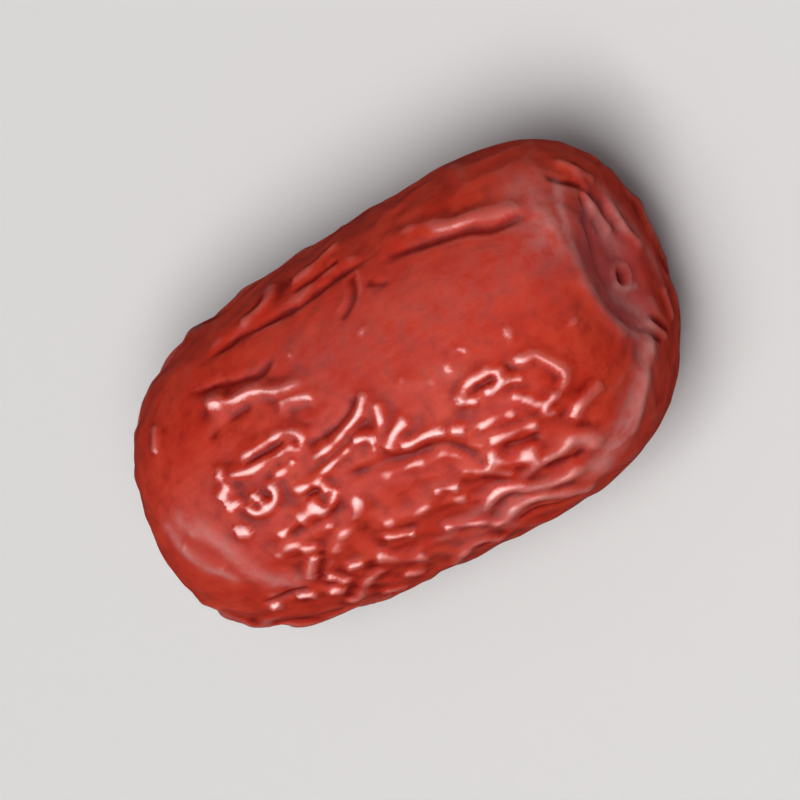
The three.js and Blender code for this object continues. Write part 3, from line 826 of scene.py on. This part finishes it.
def hollow_depth(points, spot, reach, depth, floor, pleats):
    """How deep a hollow end is, less its pleats."""
    out, angle = hollow_place(points, spot, reach)
    turned = pleats * angle / 2 + PLEAT_SPREAD * np.sin(angle + 1)
    pleat = bump(PLEAT_NARROWNESS * np.sin(turned)) - PLEAT_MIDDLE
    on_wall = smooth(*PLEATS_RISE, out) * (1 - smooth(*PLEATS_FADE, out))
    return depth * (1 - smooth(floor, 1, out)) - PLEAT_HEIGHT * pleat * on_wall


def press_ends(points, directions):
    """Draws in the skin at the fruit's two ends."""
    stem, blossom = directions[:, 0] > END_DIRECTION, directions[:, 0] < -END_DIRECTION
    points[stem, 0] -= hollow_depth(points[stem], **BASIN)
    points[blossom, 0] += hollow_depth(points[blossom], **DIMPLE)


def from_scar(points):
    """How far points are from the middle of the stalk's scar, across the fruit."""
    return np.hypot(points[:, 1] - SCAR_SPOT[0], points[:, 2] - SCAR_SPOT[1])


def press_scar(points):
    """Raises the stalk's ring in the basin, and presses its pit."""
    stem = points[:, 0] > END_FROM
    out = from_scar(points[stem])
    ring = SCAR_RING_THICKNESS * bump((out - SCAR_RING_RADIUS) / SCAR_RING_THICKNESS)
    pit = PIT_DEPTH * (1 - smooth(*PIT_WALL, out / PIT_RADIUS))
    points[stem, 0] += ring - pit


def unit_sphere():
    """A sphere of triangles, which are smaller towards its top."""
    sphere = bmesh.new()
    bmesh.ops.create_icosphere(sphere, subdivisions=SPHERE_STEPS, radius=1)
    bmesh.ops.subdivide_edges(sphere, edges=sphere.edges[:], cuts=SPHERE_CUTS, use_grid_fill=True)
    for corner in sphere.verts:
        corner.co.normalize()
        corner.co.z += DRAW_UP
        corner.co.normalize()
    mesh = bpy.data.meshes.new("Sphere")
    sphere.to_mesh(mesh)
    sphere.free()
    return mesh


def dried_points(mesh, skin, strength):
    """Where the skin's points go as it dries. The skin is a cloth that starts too large, mostly round the
    fruit, and the soft flesh that holds it shrinks, so it buckles into wrinkles. All is in centimetres."""
    scatter = np.random.default_rng(DRYING_SEED).normal(0, DRYING_SCATTER, (len(mesh.vertices), 3))
    start = points_of(mesh) * CM_PER_MM + scatter
    cloth_mesh = mesh.copy()
    set_points(cloth_mesh, start)
    piece = shown("Drying skin", cloth_mesh)
    piece.shape_key_add(name="Held")
    slack = piece.shape_key_add(name="Slack")
    for value, step in ((1, 1), (0, SHRINKING_FRAMES)):
        slack.value = value
        slack.keyframe_insert("value", frame=step)
    growth = np.full((len(start), 3), 1 + skin.swell_along)
    growth[:, 1:] = 1 + skin.swell_around * strength[:, None]
    slack.points.foreach_set("co", (start * growth).ravel())
    flesh = piece.vertex_groups.new(name="Flesh")
    flesh.add(range(len(start)), FLESH_WEIGHT, "REPLACE")
    cloth = piece.modifiers.new("Drying", "CLOTH")
    settings = cloth.settings
    for name, value in CLOTH.items():
        setattr(settings, name, value)
    settings.bending_stiffness = skin.stiffness
    settings.vertex_group_mass = flesh.name
    settings.pin_stiffness = skin.hold
    settings.effector_weights.gravity = 0
    cloth.collision_settings.use_collision = False
    cloth.collision_settings.use_self_collision = False
    cloth.point_cache.frame_start, cloth.point_cache.frame_end = 1, DRYING_FRAMES
    scene = bpy.context.scene
    for step in range(DRYING_FRAMES):
        scene.frame_set(step + 1)
    points = points_of(flattened(piece)) / CM_PER_MM
    scene.frame_set(1)
    return points


def dry(mesh, skin, strength):
    """Buckles the skin, less where its wrinkles are to be weak."""
    start = points_of(mesh)
    move = dried_points(mesh, skin, strength) - start
    size = np.linalg.norm(move, axis=1)
    limit = in_mm(skin.wrinkle_limit)
    move *= (limit * np.tanh(size / limit) / np.maximum(size, NO_MOVE))[:, None]
    set_points(mesh, start + strength[:, None] * move)


def smoothed(mesh):
    """The mesh with one level of subdivision."""
    piece = shown("Smoothed skin", mesh)
    modifier = piece.modifiers.new("Smooth", "SUBSURF")
    modifier.levels = modifier.render_levels = 1
    return flattened(piece)


def average_of_neighbours(values, edges, counts):
    total = np.zeros_like(values)
    np.add.at(total, edges[:, 0], values[edges[:, 1]])
    np.add.at(total, edges[:, 1], values[edges[:, 0]])
    return total / counts


def crinkle_height(points):
    """The height of the fine crinkles at these points."""
    return CRINKLE_HEIGHT * np.array([noise.fractal(point, *CRINKLE_FRACTAL) for point in points * CRINKLES])


def write_bend(mesh):
    """Stores how the skin bends: crest is up to 1 on ridges, and hollow is up to 1 in creases."""
    edges = np.empty(len(mesh.edges) * 2, int)
    mesh.edges.foreach_get("vertices", edges)
    edges = edges.reshape(-1, 2)
    counts = np.bincount(edges.ravel(), minlength=len(mesh.vertices))[:, None]
    points = points_of(mesh)
    soft = points
    for _ in range(BEND_REACH):
        soft = average_of_neighbours(soft, edges, counts)
    bend = np.einsum("ij,ij->i", points - soft, normals_of(mesh))[:, None]
    for _ in range(BEND_SOFTENING):
        bend = average_of_neighbours(bend, edges, counts)
    bend = bend[:, 0] - np.median(bend)
    store(mesh, "crest", smooth(*CREST_BENDS, bend))
    store(mesh, "hollow", smooth(*HOLLOW_BENDS, -bend))


def lay_down(mesh, body):
    """Leans the fruit, flattens the spot it rests on, and fits it to the frame's box in metres."""
    points = points_of(mesh) @ np.array(Matrix.Rotation(-body.lean, 3, "Y")).T
    points[:, 2] = np.maximum(points[:, 2], points[:, 2].min() + in_mm(body.flat))
    low, high = points.min(0), points.max(0)
    share_of_box = (points - low) / (high - low)
    frame_low, frame_high = np.array(FRAME_LOW), np.array(FRAME_HIGH)
    set_points(mesh, frame_low + share_of_box * (frame_high - frame_low))


def skin_material(skin):
    """Red skin: painted shade darkens its creases, a painted highlight brightens its glossy crests, and
    painted reflection and sheen lie in places.
    """
    material = bpy.data.materials.new("Dried jujube skin")
    material.use_nodes = True
    material.node_tree.nodes.clear()
    graph = Graph(material.node_tree)
    place = graph.node("ShaderNodeTexCoord", out="Object")
    along = graph.node("ShaderNodeMapping", {"Vector": place, "Scale": STREAK_STRETCH})
    crest, hollow, dust, haze = (graph.attribute(name) for name in ("crest", "hollow", "dust", "haze"))
    patches = graph.noise(place, PATCHES, detail=4, roughness=0.6).smooth(*PATTERN_STEP)
    mottle = graph.noise(place, MOTTLES, detail=4, roughness=0.6)
    streaks = graph.noise(along, STREAKS, detail=3, roughness=0.6).smooth(*PATTERN_STEP)
    pores = graph.noise(place, PORES, detail=3, roughness=0.65)
    # the crests' share is a painted highlight; the patches and streaks are the skin's own tone
    brightness_and_highlight = patches * 0.5 + streaks * 0.25 + crest * 0.3
    # the creases' share is painted shade; the mottle's share is the skin's own dark tone
    painted_shade_and_mottle = hollow * 0.85 + mottle.smooth(*DARK_STEP) * 0.4
    # painted reflection in the hollow ends
    end_sheen_share = dust * (0.35 + patches * 0.3 + mottle * 0.5)
    # painted sheen along the listed runs
    painted_sheen_share = haze * (0.35 + mottle.smooth(*PAINTED_SHEEN_STEP) * 0.65)
    red = graph.mix(brightness_and_highlight, (*skin.red, 1), (*skin.bright, 1))
    red = graph.mix(painted_shade_and_mottle, red, (*skin.deep_red_and_shade, 1))
    red = graph.mix(end_sheen_share, red, (*skin.dust, 1))
    # painted sheen, and a pale painted highlight on the crests
    red = graph.mix(painted_sheen_share + crest * 0.12, red, (*skin.haze, 1))
    roughness = skin.roughness - crest * 0.12 + dust * 0.2 + painted_sheen_share * 0.2 + (mottle - 0.5) * 0.15
    relief = streaks * 0.35 + pores * 0.4
    shader = graph.node(
        "ShaderNodeBsdfPrincipled",
        {
            "Base Color": red,
            "Roughness": roughness,
            "Normal": graph.node("ShaderNodeBump", {"Strength": 0.3, "Distance": 0.0001, "Height": relief}),
            "IOR": 1.48,
            "Subsurface Weight": 0.12,
            "Subsurface Radius": (1.0, 0.12, 0.06),
            "Subsurface Scale": 0.0012,
            "Specular IOR Level": 0.02,
            "Coat Weight": (FLAT_COAT + crest * CREST_COAT) * (1 - painted_sheen_share),
            "Coat Roughness": 0.38,
            "Sheen Weight": 0.015,
            "Sheen Roughness": 0.4,
            "Sheen Tint": (0.9, 0.75, 0.8, 1),
        },
    )
    end = material.node_tree.nodes.new("ShaderNodeOutputMaterial")
    graph.join(shader, end.inputs["Surface"])
    return material


def painted_sheen_amount(points, body, tilt):
    """How much painted sheen, pale reflected light painted into the colour, there is at these points."""
    left = np.ones(len(points))
    for run, width, most in PAINTED_SHEENS:
        path = seen_points(rounded_run(run), body, tilt)
        left *= 1 - most * bump(distance_to(points, path)[0] / width)
    return 1 - left


def write_end_sheen(mesh):
    """Stores the painted reflection of the hollow ends: most in the stem basin, and a little in the blossom
    end's dimple.
    """
    points = points_of(mesh)
    dust = np.zeros(len(points))
    for hollow, side, most in ((BASIN, 1, BASIN_SHEEN), (DIMPLE, -1, DIMPLE_SHEEN)):
        out, _ = hollow_place(points, hollow["spot"], hollow["reach"])
        at_end = side * points[:, 0] > END_FROM
        dust += most * (1 - smooth(*END_SHEEN_FADE, out)) * at_end
    store(mesh, "dust", dust * (1 - SCAR_SHEEN_GAP * bump(from_scar(points) / SCAR_RING_RADIUS)))


def area_light(name, place, target, size, power):
    """A square softbox that faces the target."""
    light = bpy.data.lights.new(name, "AREA")
    light.size = size
    light.energy = power
    lamp = bpy.data.objects.new(name, light)
    lamp.location = place
    lamp.rotation_euler = (target - place).to_track_quat("-Z", "Y").to_euler()
    bpy.context.scene.collection.objects.link(lamp)
    return lamp


def add_camera(right, up, back, target):
    """A long lens far off, so that the fruit fills about three quarters of a square picture."""
    camera = bpy.data.cameras.new("Camera")
    camera.lens = camera.sensor_width * VIEW_DISTANCE / VIEW_WIDTH
    camera.clip_start = 0.01
    eye = bpy.data.objects.new("Camera", camera)
    turn = Matrix((right, up, back)).transposed().to_4x4()
    eye.matrix_world = Matrix.Translation(target + back * VIEW_DISTANCE) @ turn
    bpy.context.scene.collection.objects.link(eye)
    bpy.context.scene.camera = eye


def view_axes(stage, lean):
    """The picture's right and up, and the direction back to the eye."""
    tilt = stage.tilt - lean
    back = Vector((math.sin(tilt), 0, math.cos(tilt)))
    along = Vector((math.cos(tilt), 0, -math.sin(tilt)))
    across = Vector((0, 1, 0))
    right = math.cos(stage.turn) * along - math.sin(stage.turn) * across
    up = math.sin(stage.turn) * along + math.cos(stage.turn) * across
    return right, up, back


def add_floor(tone):
    """A wide, pale, dull floor."""
    floor = bmesh.new()
    bmesh.ops.create_grid(floor, x_segments=1, y_segments=1, size=FLOOR_REACH)
    mesh = bpy.data.meshes.new("Floor")
    floor.to_mesh(mesh)
    floor.free()
    material = bpy.data.materials.new("Pale floor")
    material.use_nodes = True
    shader = material.node_tree.nodes["Principled BSDF"]
    shader.inputs["Base Color"].default_value = (*tone, 1)
    shader.inputs["Specular IOR Level"].default_value = 0
    mesh.materials.append(material)
    piece = shown("Floor", mesh)
    piece.visible_glossy = False


def add_fill(tone, strength):
    """Even light from all round, which glossy skin doesn't mirror."""
    world = bpy.data.worlds.new("Studio")
    bpy.context.scene.world = world
    world.use_nodes = True
    background = world.node_tree.nodes["Background"]
    background.inputs["Color"].default_value = (*tone, 1)
    background.inputs["Strength"].default_value = strength
    world.cycles_visibility.glossy = False


class JUJUBE_OT_skin(bpy.types.Operator):
    """Make the fruit's wrinkled skin"""

    bl_idname = "jujube.skin"
    bl_label = "Fruit skin"

    def execute(self, context):
        body, skin = context.scene.jujube_body, context.scene.jujube_skin
        tilt = context.scene.jujube_stage.tilt
        material = skin_material(skin)
        sizes = body_sizes(body)
        tree = body_tree(sizes, material)
        sphere = unit_sphere()
        directions = points_of(sphere)
        mesh = through_tree(sphere, tree, sizes)
        points = points_of(mesh)
        # the folds and the painted sheen are drawn on the plump body, so each point keeps its place there
        store(mesh, "body", points)
        strength = wrinkle_strength(points, directions, body, tilt)
        net = net_height(points, *net_seeds(tree, sizes)) * strength
        points += net[:, None] * normals_of(mesh)
        press_ends(points, directions)
        set_points(mesh, points)
        dry(mesh, skin, strength)
        mesh = smoothed(mesh)
        places = stored(mesh, "body")
        rise = folds_height(places, seen_folds(body, tilt)) + crinkle_height(places)
        # painted sheen: pale reflected light painted into the colour
        store(mesh, "haze", painted_sheen_amount(places, body, tilt))
        points = points_of(mesh) + rise[:, None] * normals_of(mesh)
        press_scar(points)
        set_points(mesh, points)
        write_bend(mesh)
        # painted reflection in the hollow ends
        write_end_sheen(mesh)
        lay_down(mesh, body)
        mesh.shade_smooth()
        piece = shown("dried_skin", mesh)
        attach(piece, "root")
        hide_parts(FRUIT_NODE)
        return {"FINISHED"}


class JUJUBE_OT_stage(bpy.types.Operator):
    """Make the floor, the lights and the camera"""

    bl_idname = "jujube.stage"
    bl_label = "Stage"

    def execute(self, context):
        stage = context.scene.jujube_stage
        right, up, back = view_axes(stage, context.scene.jujube_body.lean)
        target = (FRAME_LOW + FRAME_HIGH) / 2
        add_camera(right, up, back, target)
        add_floor(stage.floor)
        add_fill(stage.sky, stage.fill)
        for name, power, (side, rise, near), distance, size, hidden_from in LIGHTS:
            direction = (right * side + up * rise + back * near).normalized()
            lamp = area_light(name, target + direction * distance, target, size, getattr(stage, power))
            setattr(lamp, hidden_from, False)
        context.scene.view_settings.view_transform = "Standard"
        return {"FINISHED"}


class JUJUBE_PT_panel(bpy.types.Panel):
    """Lists the pieces that can be made"""

    bl_label = "Dried jujube"
    bl_space_type = "VIEW_3D"
    bl_region_type = "UI"
    bl_category = "Jujube"

    def draw(self, context):
        for operator in OPERATORS:
            self.layout.operator(operator.bl_idname)


OPERATORS = (JUJUBE_OT_skin, JUJUBE_OT_stage)
PROPERTY_GROUPS = {"jujube_body": JujubeBody, "jujube_skin": JujubeSkin, "jujube_stage": JujubeStage}
CLASSES = (*PROPERTY_GROUPS.values(), *OPERATORS, JUJUBE_PT_panel)


def register():
    for kind in CLASSES:
        bpy.utils.register_class(kind)
    for name, group in PROPERTY_GROUPS.items():
        setattr(bpy.types.Scene, name, PointerProperty(type=group))


def unregister():
    for name in PROPERTY_GROUPS:
        delattr(bpy.types.Scene, name)
    for kind in reversed(CLASSES):
        bpy.utils.unregister_class(kind)


def main():
    register()
    bpy.ops.jujube.skin()
    bpy.ops.jujube.stage()


if __name__ == "__main__":
    main()
